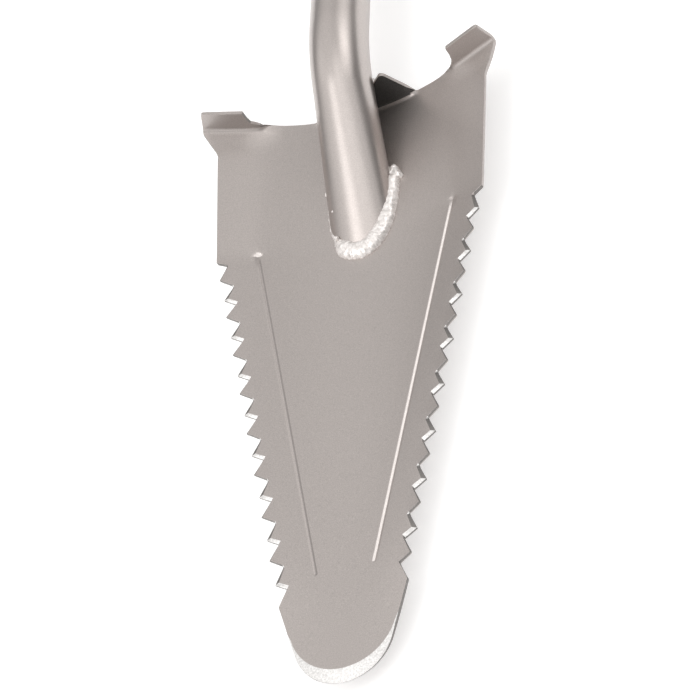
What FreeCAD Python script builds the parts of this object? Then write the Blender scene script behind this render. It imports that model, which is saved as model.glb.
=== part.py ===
"""Camp shovel: a welded digging shovel with saw edges, foot steps and a T-handle.

The shovel lies on its back, touching the ground with the heel of its dished blade
and with the two grips.  X runs across the blade, Y towards the handle and Z up, out
of the blade's front face.  Every part is built with Y = 0 at the first saw tooth and
Z = 0 in the plane of the two creases; save() then moves it so that the origin lies
on the ground below the middle of the whole shovel.
"""
import FreeCAD, Part
import math
import os

from FreeCAD import Vector

# ---- driving dimensions, millimetres and degrees ----
SHEET = 1.9                    # blade sheet, 14 gauge
OVERALL_LENGTH = 787.0         # blade tip to the far side of the handle

# blade outline
SHOULDER_HALF = 66.9           # half width at the first tooth
KINK_HALF = 69.8               # half width where the steps start to flare out
KINK_Y = 66.5
STEP_HALF = 76.2               # half width at the steps
TEETH_END_HALF = 29.2          # half width below the last tooth
TEETH_END_Y = -190.0
TIP_RADIUS = 23.0
TIP_CENTRE_Y = -206.6
TIP_TANGENT_ANGLE = -17.2      # where the straight sides run into the rounded tip
TIP_BEVEL_WIDTH = 5.7
TIP_BEVEL_SHIFT = 7.3          # makes the ground bevel fade out up the sides
TIP_BEVEL_FADE = 16.5          # degrees below the bevel's centre where it runs out

# wings, bent forward about the long coined creases
CREASE_TOP_HALF = 49.2
CREASE_TOP_Y = 3.7
CREASE_END_HALF = 13.4
CREASE_END_Y = -176.8
WING_ANGLE = 22.5              # at the steps and down to the first tooth
WING_ANGLE_MIDDLE = 17.5
WING_ANGLE_CREASE_END = 10.0
FLAT_BELOW_Y = -205.0          # the rounded tip is flat
DISH_HEEL = 9.3                # depth of the dished middle below the creases
DISH_HEEL_Y = 70.0
DISH_SHOULDER = 7.8
DISH_MIDDLE = 3.7
DISH_CREASE_END = 0.6
GROOVE_RADIUS = 1.6
GROOVE_DEPTH = 0.7

# saw teeth
TOOTH_COUNT = 17
TOOTH_DEPTH = 5.2
ROOT_SHARE = 0.37              # share of the pitch from a tooth's tip down to the root
TOOTH_BEVEL = 1.8

# foot steps, folded forward square to the wings
STEP_FACE_Y = 83.4
STEP_HEIGHT = 15.0             # from the wing's back face
STEP_END = 29.8                # distances along the wing, from its bend line
STEP_FREE_EDGE_START = 9.5
FOLD_INNER_RADIUS = 2.3

# saddle tab, folded forward behind the shaft from the dished heel
HEEL_EDGE_Y = 83.0             # straight edge between the tab and the steps
TAB_FACE_Y = 83.4
TAB_RIGHT = 28.0               # the right ear stands a little further out
TAB_RIGHT_PEAK = 18.0
TAB_LEFT = 24.2
TAB_LEFT_PEAK = 14.6
TAB_PEAK_Z = 11.5
SADDLE_CLEARANCE = 0.15

# shaft
TUBE_RADIUS = 14.3             # 1-1/8 in tube
TUBE_WALL = 1.65
SOCKET_ANGLE = 21.8            # between the shaft's lower end and the blade
SOCKET_CROSSING_Y = 42.0       # where the shaft's axis passes the plane of the creases
BEND_APEX_Y = 94.0             # where the two straight axes would meet
BEND_RADIUS = 85.0
FOOT_LENGTH = 106.0            # from the bend down to the foot, past the blade's face
TOE_SPREAD = 3.3               # the foot is pressed wider by this on each side
TOE_FLATTEN = 4.3              # and lower by this above and below

# welds
SOCKET_BEAD_HALF = 14.9        # the bead's middle line is half an ellipse
SOCKET_BEAD_TOE_Y = -4.5
SOCKET_BEAD_END_Y = 33.0
SOCKET_BEAD_Z = -8.1
SOCKET_BEAD_RADIUS = 4.4
WELD_KNOB_RADIUS = 3.0
WELD_LEG = 3.2

# T-handle
GRIP_INNER = 20.0              # distances from the middle of the handle
GRIP_OUTER = 73.5
HANDLE_HALF = 74.0
GRIP_FLANGE_RADIUS = 21.0
GRIP_FLANGE_WIDTH = 3.5
GRIP_RADIUS = 18.2
GRIP_GROOVE_DEPTH = 0.9
GRIP_RIB_COUNT = 9
GRIP_BORE_CLEARANCE = 0.05
PLUG_HEAD = 3.2
PLUG_STEM = 12.0

GROUND_Z = -DISH_HEEL - SHEET  # the lowest line of the blade, at its heel
HANDLE_Y = OVERALL_LENGTH + TIP_CENTRE_Y - TIP_RADIUS - GRIP_FLANGE_RADIUS
HANDLE_Z = GROUND_Z + GRIP_FLANGE_RADIUS
MIDDLE_Y = TIP_CENTRE_Y - TIP_RADIUS + OVERALL_LENGTH / 2
FAR = 120.0                    # reach of the cutting bodies


# ---- small helpers ----
def polygon_prism(points, direction):
    """Extrude the closed polygon through the points along direction."""
    outline = Part.makePolygon(points + [points[0]])
    return Part.Face(outline).extrude(direction)


def mirrored(shape):
    """The shape's mirror image across the centre plane X = 0."""
    return shape.mirror(Vector(0, 0, 0), Vector(1, 0, 0))


def along(start, end, share):
    return start + (end - start).multiply(share)


def save(shape, node):
    """Put the part in its place in the resting shovel and write it out."""
    placed = shape.copy()
    placed.translate(Vector(0, -MIDDLE_Y, -GROUND_Z))
    placed.exportStep("parts/%s.step" % node)


# ---- blade ----
def crease_half(y):
    """Half distance between the bend lines, on the blade's front face."""
    slope = (CREASE_TOP_HALF - CREASE_END_HALF) / (CREASE_TOP_Y - CREASE_END_Y)
    return CREASE_TOP_HALF + slope * (min(y, CREASE_TOP_Y) - CREASE_TOP_Y)


def stations():
    """Blade stations from the handle end down: Y, wing angle and depth of the dish."""
    middle_y = (CREASE_TOP_Y + CREASE_END_Y) / 2
    return [
        (STEP_FACE_Y, WING_ANGLE, DISH_HEEL),
        (DISH_HEEL_Y, WING_ANGLE, DISH_HEEL),
        (CREASE_TOP_Y, WING_ANGLE, DISH_SHOULDER),
        (middle_y, WING_ANGLE_MIDDLE, DISH_MIDDLE),
        (CREASE_END_Y, WING_ANGLE_CREASE_END, DISH_CREASE_END),
        (FLAT_BELOW_Y, 0.0, 0.0),
        (TIP_CENTRE_Y - 2 * TIP_RADIUS, 0.0, 0.0),
    ]


def dish_radius(half, depth):
    return (half * half + depth * depth) / (2 * depth)


def dish_edge(y, half, z, depth):
    """Curved middle of a section, from the left bend line to the right one."""
    left = Vector(-half, y, z)
    right = Vector(half, y, z)
    if depth == 0:
        return Part.makeLine(left, right)
    return Part.Arc(left, Vector(0, y, z - depth), right).toShape()


def sheet_section(y, wing_angle, depth):
    """Cross section of the bent sheet, wider than the blade, as a closed wire."""
    angle = math.radians(wing_angle)
    front = crease_half(y)
    dish_slope = math.asin(front / dish_radius(front, depth)) if depth else 0.0
    mean = (angle + dish_slope) / 2
    back = front + SHEET * math.sin(mean)
    back_z = -SHEET * math.cos(mean)
    outer_front = (FAR - front) * math.tan(angle)
    outer_back = outer_front - SHEET / math.cos(angle)
    right = [(front, 0), (FAR, outer_front), (FAR, outer_back), (back, back_z)]
    right = [Vector(x, y, z) for x, z in right]
    left = [Vector(-p.x, y, p.z) for p in reversed(right)]
    edges = [dish_edge(y, front, 0, depth)]
    edges += Part.makePolygon(right).Edges
    edges.append(dish_edge(y, back, back_z, depth + SHEET + back_z))
    edges += Part.makePolygon(left).Edges
    return Part.Wire(Part.__sortEdges__(edges))


def below_section(y, wing_angle, depth):
    """Everything below the front face in a cross section, as a closed wire."""
    front = crease_half(y)
    outer = (FAR - front) * math.tan(math.radians(wing_angle))
    rest = [(front, 0), (FAR, outer), (FAR, -FAR), (-FAR, -FAR), (-FAR, outer), (-front, 0)]
    rest = Part.makePolygon([Vector(x, y, z) for x, z in rest])
    return Part.Wire(Part.__sortEdges__([dish_edge(y, front, 0, depth)] + rest.Edges))


def bent_sheet():
    return Part.makeLoft([sheet_section(*station) for station in stations()], True, True)


def below_front_face():
    """Cutter that takes away whatever reaches through the blade's front face."""
    return Part.makeLoft([below_section(*station) for station in stations()], True, True)


def tooth_points():
    """Tips and roots of the right-hand saw edge, from the handle end down."""
    first = Vector(SHOULDER_HALF, 0, 0)
    last = Vector(TEETH_END_HALF, TEETH_END_Y, 0)
    edge = (last - first).normalize()
    inward = Vector(edge.y, -edge.x, 0)
    tips = [along(first, last, i / TOOTH_COUNT) for i in range(TOOTH_COUNT + 1)]
    roots = []
    for i in range(TOOTH_COUNT):
        foot = along(first, last, (i + ROOT_SHARE) / TOOTH_COUNT)
        roots.append(foot + inward * TOOTH_DEPTH)
    return tips, roots


def blade_outline():
    """Plan outline of the blade up to the fold lines, as a prism along Z."""
    fold = FOLD_INNER_RADIUS + SHEET
    side = [
        Vector(CREASE_TOP_HALF - 1.0, HEEL_EDGE_Y, 0),
        Vector(CREASE_TOP_HALF, STEP_FACE_Y - fold, 0),
        Vector(STEP_HALF, STEP_FACE_Y - fold, 0),
        Vector(KINK_HALF, KINK_Y, 0),
    ]
    tips, roots = tooth_points()
    for tip, root in zip(tips, roots):
        side += [tip, root]
    side.append(tips[-1])
    tangent = math.radians(TIP_TANGENT_ANGLE)
    tangent_y = TIP_CENTRE_Y + TIP_RADIUS * math.sin(tangent)
    side.append(Vector(TIP_RADIUS * math.cos(tangent), tangent_y, 0))
    left = [Vector(-p.x, p.y, 0) for p in side]
    tip_arc = Part.Arc(side[-1], Vector(0, TIP_CENTRE_Y - TIP_RADIUS, 0), left[-1]).toShape()
    right_edges = Part.makePolygon(side).Edges
    left_edges = Part.makePolygon(left).Edges
    heel = [
        left[0],
        Vector(-TAB_LEFT, HEEL_EDGE_Y, 0),
        Vector(-TAB_LEFT, TAB_FACE_Y - fold, 0),
        Vector(TAB_RIGHT, TAB_FACE_Y - fold, 0),
        Vector(TAB_RIGHT, HEEL_EDGE_Y, 0),
        side[0],
    ]
    heel_edges = Part.makePolygon(heel).Edges
    wire = Part.Wire(Part.__sortEdges__(right_edges + [tip_arc] + left_edges + heel_edges))
    prism = Part.Face(wire).extrude(Vector(0, 0, FAR))
    prism.translate(Vector(0, 0, GROUND_Z - 1))
    return prism


def fold_profile(face_y, height):
    """Cross section of a sheet folded forward: a wire in the YZ plane at X = 0."""
    inner = FOLD_INNER_RADIUS
    outer = inner + SHEET
    centre_y = face_y - outer
    start_y = centre_y - 0.4
    half = math.sqrt(0.5)
    corners = [
        Vector(0, start_y, 0),
        Vector(0, centre_y, 0),
        Vector(0, face_y, outer),
        Vector(0, face_y, height),
        Vector(0, face_y - SHEET, height),
        Vector(0, face_y - SHEET, outer),
        Vector(0, centre_y, SHEET),
        Vector(0, start_y, SHEET),
    ]
    outer_mid = Vector(0, centre_y + outer * half, outer - outer * half)
    inner_mid = Vector(0, centre_y + inner * half, outer - inner * half)
    edges = [
        Part.makeLine(corners[0], corners[1]),
        Part.Arc(corners[1], outer_mid, corners[2]).toShape(),
        Part.makeLine(corners[2], corners[3]),
        Part.makeLine(corners[3], corners[4]),
        Part.makeLine(corners[4], corners[5]),
        Part.Arc(corners[5], inner_mid, corners[6]).toShape(),
        Part.makeLine(corners[6], corners[7]),
        Part.makeLine(corners[7], corners[0]),
    ]
    return Part.Face(Part.Wire(edges))


def foot_step():
    """Right-hand step: built flat along +X from the bend line, then turned up with the wing."""
    strip = fold_profile(STEP_FACE_Y, STEP_HEIGHT).extrude(Vector(STEP_END, 0, 0))
    reach = Vector(0, FAR, 0)
    # inner end: a concave sweep from the blade's top edge up to the free edge
    sweep = Part.Arc(Vector(0, 0, 2.4), Vector(4.6, 0, 4.4), Vector(7.2, 0, 8.4)).toShape()
    rest = Part.makePolygon([
        Vector(7.2, 0, 8.4),
        Vector(STEP_FREE_EDGE_START, 0, STEP_HEIGHT + 1),
        Vector(-1, 0, STEP_HEIGHT + 1),
        Vector(-1, 0, 2.4),
        Vector(0, 0, 2.4),
    ])
    waste = Part.Face(Part.Wire([sweep] + rest.Edges)).extrude(reach)
    # outer end: a small corner is taken off the free edge
    corner = polygon_prism([
        Vector(STEP_END - 2.0, 0, STEP_HEIGHT + 1),
        Vector(STEP_END + 1, 0, STEP_HEIGHT + 1),
        Vector(STEP_END + 1, 0, STEP_HEIGHT - 3.0),
    ], reach)
    step = strip.cut(waste).cut(corner)
    step.rotate(Vector(0, 0, 0), Vector(0, 1, 0), -WING_ANGLE)
    back_bend = CREASE_TOP_HALF + SHEET * math.tan(math.radians(WING_ANGLE / 2))
    step.translate(Vector(back_bend, 0, -SHEET))
    return step


def outside_ear(foot, peak):
    """Cutter that trims the folded strip down to the right-hand ear of the tab."""
    foot_z = DISH_HEEL * ((foot / CREASE_TOP_HALF) ** 2 - 1)
    high = TAB_PEAK_Z + FAR
    return polygon_prism([
        Vector(foot, 0, -FAR),
        Vector(foot, 0, foot_z + 1.0),
        Vector(peak + 1.9, 0, TAB_PEAK_Z - 2.2),
        Vector(peak + 0.9, 0, TAB_PEAK_Z - 0.5),
        Vector(peak - 0.6, 0, TAB_PEAK_Z),
        Vector(peak - 2.0, 0, TAB_PEAK_Z - 0.8),
        Vector(peak - 5.5, 0, TAB_PEAK_Z - 4.0),
        Vector(0, 0, TAB_PEAK_Z - 4.0),
        Vector(0, 0, high),
        Vector(FAR, 0, high),
        Vector(FAR, 0, -FAR),
    ], Vector(0, FAR, 0))


def saddle_tab():
    """Two ears folded forward on either side of the shaft, before the saddle is cut."""
    profile = fold_profile(TAB_FACE_Y, TAB_PEAK_Z - GROUND_Z + 3.0)
    profile.translate(Vector(0, 0, GROUND_Z))
    radius = dish_radius(CREASE_TOP_HALF, DISH_HEEL)
    axis_point = Vector(0, 0, radius - DISH_HEEL)
    half_angle = math.degrees(math.asin((TAB_RIGHT + 2) / radius))
    profile.rotate(axis_point, Vector(0, 1, 0), half_angle)
    strip = profile.revolve(axis_point, Vector(0, 1, 0), -2 * half_angle)
    right = outside_ear(TAB_RIGHT, TAB_RIGHT_PEAK)
    left = mirrored(outside_ear(TAB_LEFT, TAB_LEFT_PEAK))
    return strip.cut([right, left])


def crease_groove():
    """Right-hand coined groove: a round bar with ball ends, sunk into the front face."""
    height = GROOVE_RADIUS - GROOVE_DEPTH
    start = Vector(CREASE_TOP_HALF, CREASE_TOP_Y, height)
    end = Vector(CREASE_END_HALF, CREASE_END_Y, height)
    run = end - start
    bar = Part.makeCylinder(GROOVE_RADIUS, run.Length, start, run)
    return bar.fuse([Part.makeSphere(GROOVE_RADIUS, start), Part.makeSphere(GROOVE_RADIUS, end)])


def wing_height(x, y):
    """Height of the wing's front face at a point of the saw edge."""
    profile = stations()
    for (top, top_angle, _), (low, low_angle, _) in zip(profile, profile[1:]):
        if y >= low:
            share = (top - y) / (top - low)
            top_slope = math.tan(math.radians(top_angle))
            low_slope = math.tan(math.radians(low_angle))
            return (x - crease_half(y)) * ((1 - share) * top_slope + share * low_slope)
    return 0.0


def tooth_bevels():
    """Cutters that grind the underside of each tooth, in turn from the front and the back."""
    tips, roots = tooth_points()
    cutters = []
    for side in (-1, 1):
        for i in range(1, TOOTH_COUNT):
            from_front = (i % 2 == 0) == (side < 0)
            flank = roots[i] - tips[i]
            into_tooth = Vector(-flank.y, flank.x, 0).normalize()
            if into_tooth.y < 0:
                into_tooth = into_tooth * -1
            base = wing_height(tips[i].x, tips[i].y) - SHEET
            kept, ground = (base, base + SHEET + 0.6) if from_front else (base + SHEET, base - 1.2)
            start = tips[i] - flank * 0.3
            outside = into_tooth * -2.0
            section = [
                start + Vector(0, 0, kept),
                start + into_tooth * TOOTH_BEVEL + Vector(0, 0, ground),
                start + outside + Vector(0, 0, ground),
                start + outside + Vector(0, 0, kept),
            ]
            cutter = polygon_prism(section, flank * 1.15)
            cutters.append(cutter if side > 0 else mirrored(cutter))
    return cutters


def tip_bevel():
    """Cutter for the bevel ground round the front of the tip."""
    edge = TIP_RADIUS + TIP_BEVEL_SHIFT
    profile = [
        Vector(edge - TIP_BEVEL_WIDTH, 0, 0),
        Vector(edge + 0.3, 0, -SHEET + 0.2),
        Vector(edge + 8, 0, -SHEET + 0.2),
        Vector(edge + 8, 0, 2 * SHEET),
        Vector(edge - TIP_BEVEL_WIDTH, 0, 2 * SHEET),
    ]
    face = Part.Face(Part.makePolygon(profile + [profile[0]]))
    face.rotate(Vector(0, 0, 0), Vector(0, 0, 1), -TIP_BEVEL_FADE)
    ring = face.revolve(Vector(0, 0, 0), Vector(0, 0, 1), 2 * TIP_BEVEL_FADE - 180)
    ring.translate(Vector(0, TIP_CENTRE_Y + TIP_BEVEL_SHIFT, 0))
    return ring


def make_blade(saddle_bar, below):
    plate = bent_sheet().common(blade_outline())
    step = foot_step()
    blade = plate.fuse([step, mirrored(step), saddle_tab()]).removeSplitter()
    groove = crease_groove()
    cutters = [groove, mirrored(groove), tip_bevel()] + tooth_bevels()
    blade = blade.cut(cutters)
    return blade.cut(saddle_bar.cut(below))


# ---- shaft ----
def lower_axis_direction():
    angle = math.radians(SOCKET_ANGLE)
    return Vector(0, math.cos(angle), math.sin(angle))


def bend_apex():
    rise = (BEND_APEX_Y - SOCKET_CROSSING_Y) * math.tan(math.radians(SOCKET_ANGLE))
    return Vector(0, BEND_APEX_Y, rise)


def upper_axis_direction():
    return (Vector(0, HANDLE_Y, HANDLE_Z) - bend_apex()).normalize()


def bend_turn():
    return lower_axis_direction().getAngle(upper_axis_direction())


def bend_start():
    """Where the inclined lower end of the shaft's axis turns into the bend."""
    return bend_apex() - lower_axis_direction() * (BEND_RADIUS * math.tan(bend_turn() / 2))


def lower_bar(radius):
    """The inclined lower end as a solid bar: round at the bend, pressed wide at its foot."""
    direction = lower_axis_direction()
    top = bend_start()
    foot = top - direction * FOOT_LENGTH
    circle = Part.Circle(top, direction, radius)
    circle.XAxis = Vector(1, 0, 0)
    ellipse = Part.Ellipse(
        foot + Vector(radius + TOE_SPREAD, 0, 0),
        foot + Vector(1, 0, 0).cross(direction) * (radius - TOE_FLATTEN),
        foot,
    )
    sections = [Part.Wire(curve.toShape()) for curve in (ellipse, circle)]
    return Part.makeLoft(sections, True, True)


def bend_bar(radius):
    direction = lower_axis_direction()
    start = bend_start()
    centre = start + Vector(1, 0, 0).cross(direction) * -BEND_RADIUS
    disc = Part.Face(Part.Wire(Part.makeCircle(radius, start, direction)))
    return disc.revolve(centre, Vector(1, 0, 0), -math.degrees(bend_turn()))


def straight_bar(radius):
    direction = upper_axis_direction()
    start = bend_apex() + direction * (BEND_RADIUS * math.tan(bend_turn() / 2))
    end = Vector(0, HANDLE_Y, HANDLE_Z)
    return Part.makeCylinder(radius, (end - start).Length, start, direction)


def shaft_bar(radius):
    return bend_bar(radius).fuse([lower_bar(radius), straight_bar(radius)])


def cross_bar(radius, half_length):
    start = Vector(-half_length, HANDLE_Y, HANDLE_Z)
    return Part.makeCylinder(radius, 2 * half_length, start, Vector(1, 0, 0))


def make_shaft(outer_bar, below):
    """Bent tube, cut off flush with the blade's front face and coped to the cross tube."""
    tube = outer_bar.cut(shaft_bar(TUBE_RADIUS - TUBE_WALL))
    return tube.cut([below, cross_bar(TUBE_RADIUS, FAR)])


# ---- welds ----
def make_socket_weld(outer_bar, below):
    """Bead round the toe of the shaft, with a knob where it was started."""
    centre = Vector(0, SOCKET_BEAD_END_Y, SOCKET_BEAD_Z)
    ellipse = Part.Ellipse(
        Vector(0, SOCKET_BEAD_TOE_Y, SOCKET_BEAD_Z),
        centre + Vector(SOCKET_BEAD_HALF, 0, 0),
        centre,
    )
    spine = Part.Wire(Part.Edge(ellipse, -math.pi / 2, math.pi / 2))
    start = spine.Vertexes[0].Point
    profile = Part.Wire(Part.makeCircle(SOCKET_BEAD_RADIUS, start, Vector(0, 1, 0)))
    bead = spine.makePipeShell([profile], True, False)
    knob = Part.makeSphere(WELD_KNOB_RADIUS, Vector(17.7, SOCKET_BEAD_END_Y + 2.0, -5.6))
    return bead.fuse(knob).cut([outer_bar, below])


def make_saddle_weld(outer_bar, blade):
    """Bead on the handle side of the saddle tab, hugging the back of the shaft."""
    slab = Part.makeBox(2 * 15.0, 4.5, 14.0, Vector(-15.0, TAB_FACE_Y, -5.0))
    return shaft_bar(TUBE_RADIUS + WELD_LEG).common(slab).cut([outer_bar, blade])


def make_handle_weld():
    """Ring of weld where the shaft meets the cross tube."""
    collar = straight_bar(TUBE_RADIUS + WELD_LEG).common(cross_bar(TUBE_RADIUS + WELD_LEG, GRIP_INNER - 1))
    return collar.cut([straight_bar(TUBE_RADIUS), cross_bar(TUBE_RADIUS, FAR)])


# ---- T-handle ----
def turned(profile):
    """Revolve an (x, radius) profile about the cross tube's axis."""
    points = [Vector(x, HANDLE_Y, HANDLE_Z + radius) for x, radius in profile]
    face = Part.Face(Part.makePolygon(points + [points[0]]))
    return face.revolve(Vector(0, HANDLE_Y, HANDLE_Z), Vector(1, 0, 0), 360)


def make_grip():
    """Ribbed rubber sleeve with a finger flange at its inner end."""
    bore = TUBE_RADIUS + GRIP_BORE_CLEARANCE
    body_start = GRIP_INNER + GRIP_FLANGE_WIDTH
    profile = [
        (GRIP_INNER, bore),
        (GRIP_INNER, GRIP_FLANGE_RADIUS - 0.8),
        (GRIP_INNER + 0.8, GRIP_FLANGE_RADIUS),
        (body_start - 0.8, GRIP_FLANGE_RADIUS),
        (body_start, GRIP_FLANGE_RADIUS - 0.8),
        (body_start, GRIP_RADIUS),
    ]
    rib_pitch = (GRIP_OUTER - body_start) / (GRIP_RIB_COUNT + 1)
    groove = GRIP_RADIUS - GRIP_GROOVE_DEPTH
    for i in range(1, GRIP_RIB_COUNT + 1):
        x = body_start + i * rib_pitch
        profile += [
            (x - 1.1, GRIP_RADIUS),
            (x - 0.6, groove),
            (x + 0.6, groove),
            (x + 1.1, GRIP_RADIUS),
        ]
    profile += [
        (GRIP_OUTER - 1.2, GRIP_RADIUS),
        (GRIP_OUTER, GRIP_RADIUS - 1.2),
        (GRIP_OUTER, bore),
    ]
    return turned(profile)


def make_plug():
    """Push-in plug with a domed head that closes the end of the cross tube."""
    stem = TUBE_RADIUS - TUBE_WALL
    profile = [
        (HANDLE_HALF - PLUG_STEM, 0),
        (HANDLE_HALF - PLUG_STEM, stem - 0.8),
        (HANDLE_HALF - PLUG_STEM + 1, stem),
        (HANDLE_HALF, stem),
        (HANDLE_HALF, TUBE_RADIUS),
        (HANDLE_HALF + 0.45 * PLUG_HEAD, TUBE_RADIUS - 0.5),
        (HANDLE_HALF + 0.8 * PLUG_HEAD, TUBE_RADIUS - 3),
        (HANDLE_HALF + PLUG_HEAD, TUBE_RADIUS - 7),
        (HANDLE_HALF + PLUG_HEAD, 0),
    ]
    return turned(profile)


def main():
    os.makedirs("parts", exist_ok=True)
    outer_bar = shaft_bar(TUBE_RADIUS)
    below = below_front_face()
    blade = make_blade(shaft_bar(TUBE_RADIUS + SADDLE_CLEARANCE), below)
    save(blade, "blade")
    save(make_shaft(outer_bar, below), "shaft_tube")
    save(make_socket_weld(outer_bar, below), "socket_weld_bead")
    save(make_saddle_weld(outer_bar, blade), "saddle_weld_bead")
    handle_tube = cross_bar(TUBE_RADIUS, HANDLE_HALF).cut(cross_bar(TUBE_RADIUS - TUBE_WALL, HANDLE_HALF))
    save(handle_tube, "handle_tube")
    save(make_handle_weld(), "handle_weld_bead")
    grip = make_grip()
    save(grip, "right_grip")
    save(mirrored(grip), "left_grip")
    plug = make_plug()
    save(plug, "right_end_plug")
    save(mirrored(plug), "left_end_plug")


main()
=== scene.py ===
"""Camp shovel: its looks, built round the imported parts.

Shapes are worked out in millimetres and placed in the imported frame, which is in metres.
"""
import math

import bmesh
import bpy
from mathutils import Matrix, Vector, noise
from mathutils.geometry import delaunay_2d_cdt


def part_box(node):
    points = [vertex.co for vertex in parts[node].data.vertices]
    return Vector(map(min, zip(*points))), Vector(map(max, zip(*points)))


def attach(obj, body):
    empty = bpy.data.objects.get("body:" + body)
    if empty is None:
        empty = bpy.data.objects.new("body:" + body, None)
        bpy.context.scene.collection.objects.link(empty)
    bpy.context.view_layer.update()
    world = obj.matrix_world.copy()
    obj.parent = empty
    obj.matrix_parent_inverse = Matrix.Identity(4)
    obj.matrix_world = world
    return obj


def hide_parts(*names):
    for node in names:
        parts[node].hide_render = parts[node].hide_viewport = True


MM = 0.001

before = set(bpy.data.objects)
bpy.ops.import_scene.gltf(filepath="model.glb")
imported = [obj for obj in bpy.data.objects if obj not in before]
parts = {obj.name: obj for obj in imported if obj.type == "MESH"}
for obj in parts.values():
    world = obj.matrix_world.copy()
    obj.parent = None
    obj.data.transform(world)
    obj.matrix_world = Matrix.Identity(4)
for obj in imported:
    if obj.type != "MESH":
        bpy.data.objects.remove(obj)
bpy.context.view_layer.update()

# ---- the blade's sizes in millimetres, the same as the part's where the part has them ----
# Y = 0 is at the first saw tooth and Z = 0 in the plane of the creases.
SHEET = 1.9
TIP_RADIUS = 23.0
TIP_CENTRE_Y = -206.6
TIP_TANGENT_ANGLE = math.radians(-17.2)
TIP_TANGENT_Y = -213.4         # where the edges run into the tip's arc
TIP_ARC_STEP = math.radians(6)
BEVEL_CENTRE_Y = -199.3        # inner edge of the bevel ground round the tip
BEVEL_RADIUS = 24.6
BEVEL_FADE = math.radians(16.5)
BEVEL_SLOPE = 0.29
BEVEL_START_Y = -203.0         # the bevel fades in from here
BEVEL_FULL_Y = -208.0

SHOULDER_HALF = 66.9
KINK_HALF = 69.8
KINK_Y = 66.5
STEP_HALF = 76.2
TEETH_END_HALF = 29.2
TEETH_END_Y = -190.0
TOOTH_COUNT = 17
TOOTH_DEPTH = 5.2
ROOT_SHARE = 0.37
FIRST_ROOT_SHIFT = (0.8, 1.5)  # the notch under the shoulder is shallower
TOOTH_SET = 0.35
TOOTH_LEAN = 0.15              # a tooth's middle is this share of the pitch above its tip
# every other tooth is ground from the front, the ones between them mostly from the back:
# width of the facet at the root, at the tip and along the flank, its depth in front and behind
GROUND_FRONT = (1.0, 1.8, 1.4, 0.95, 0.0)
GROUND_BACK = (0.3, 0.5, 0.35, 0.3, 0.9)
GRIND_OVERRUN = 0.3
ROOT_ROUNDING = 0.35

CREASE_TOP_HALF = 49.2
CREASE_TOP_Y = 3.7
CREASE_END_HALF = 13.4
CREASE_END_Y = -176.8
GROOVE_HALF = 0.9
GROOVE_DEPTH_RIGHT = 0.8
GROOVE_DEPTH_LEFT = 0.45       # pressed less sharply
GROOVE_BLUNTNESS = 0.12        # rounding of the V's bottom
DIMPLE_RADIUS = 2.2
DIMPLE_DEPTH = 0.8
# Y, slope of the wings and depth of the dish
STATIONS = (
    (120.0, 0.4142, 9.3),
    (70.0, 0.4142, 9.3),
    (CREASE_TOP_Y, 0.4142, 7.8),
    (-86.5, 0.3153, 3.7),
    (CREASE_END_Y, 0.1763, 0.6),
    (-205.0, 0.0, 0.0),
    (-300.0, 0.0, 0.0),
)
STATION_EASING = (-14.0, -7.0, 0.0, 7.0, 14.0)
DISH_HEEL = 9.3

HEEL_EDGE_Y = 83.0
HEEL_LEFT_RISE = 1.4           # the heel's left half runs on a little beside the step
PRE_BEND_Y = 70.0              # the sheet starts to rise before the fold of a step
PRE_BEND_SLOPE = 0.36
PRE_BEND_SIDES = (40.0, 52.0)  # it rises only outside these half widths
FOLD_INNER = 2.3
FOLD_MIDDLE = FOLD_INNER + SHEET / 2
FOLD_LENGTH = FOLD_MIDDLE * math.pi / 2
HEEL_FACE_Y = 83.4             # rear face of the folded steps and tab
FOLD_Y = HEEL_FACE_Y - FOLD_INNER - SHEET
STEP_WALL = 9.5
STEP_RISE = FOLD_LENGTH + STEP_WALL
STEP_FOLD_SIDES = (48.0, 52.0)  # the steps' fold grows between these half widths
STEP_ROUND = 1.8
STEP_INNER_HALF = 57.7
# inner corner of a step: half width and distance past the heel's edge, then past the fold's start
STEP_CORNER = ((49.0, 0.0), (50.8, 0.5), (52.6, 1.7))
STEP_FLANK = ((54.6, 7.6), (56.2, 10.6), (57.2, 13.4))
TAB_RIGHT = (28.0, 18.0)       # foot and peak of each ear
TAB_LEFT = (24.2, 14.6)
TAB_PEAK_Z = 11.5
TAB_MIDDLE = 3.3               # from the start of the fold to about the middle of the tab's sheet
TAB_FOLD_BLEND = 1.0           # half the width over which the tab's fold runs out
LEAST_FOLD = 0.001             # less of a fold than this is left out
SADDLE_GAP = 0.15
SADDLE_HALF = 11.0
EAR_FOOT_Z = 1.6
# round an ear's peak, from the saddle outwards: across and up from the peak
EAR_PEAK = ((-5.5, -4.0), (-2.0, -0.8), (-1.2, -0.15), (-0.3, 0.0), (0.7, -0.35), (1.5, -1.3))

# how finely the sheet is divided
SLOPE_PROBE = 0.4
GRID_STEP = 4.0
GRID_LOW_Y = -226.0
GRID_BELOW_FOLD = 1.2
GRID_HALF = 80.0
FOLD_GRID_STEP = 2.0
FOLD_GRID_HALF = 78.0
FOLD_GRID_ROWS = 6
WALL_STEP = 2.5
WALL_TOP = 20.0
SHEET_CLEARANCE = 1.9          # of loose points from the outline
FOLD_CLEARANCE = 0.9
FOLD_TOLERANCE = 0.1
BEVEL_CLEARANCE = 1.5
GROOVE_CLEARANCE = 3.4
GROOVE_END_CLEARANCE = 4.0
KEEP_INSIDE = 1                # the triangulation's output: only triangles within the outline
MERGE_DISTANCE = 0.00001
GROOVE_ROWS = (-2.4, -1.5, -0.9, -0.6, -0.3, 0.0, 0.3, 0.6, 0.9, 1.5, 2.4)
GROOVE_END_POINTS = (0.0, 0.45, 0.9, 1.35, 2.2)
GROOVE_FIRST_STEP = 4.0
GROOVE_STEP = 4.5
SADDLE_STEP = 1.6
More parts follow.
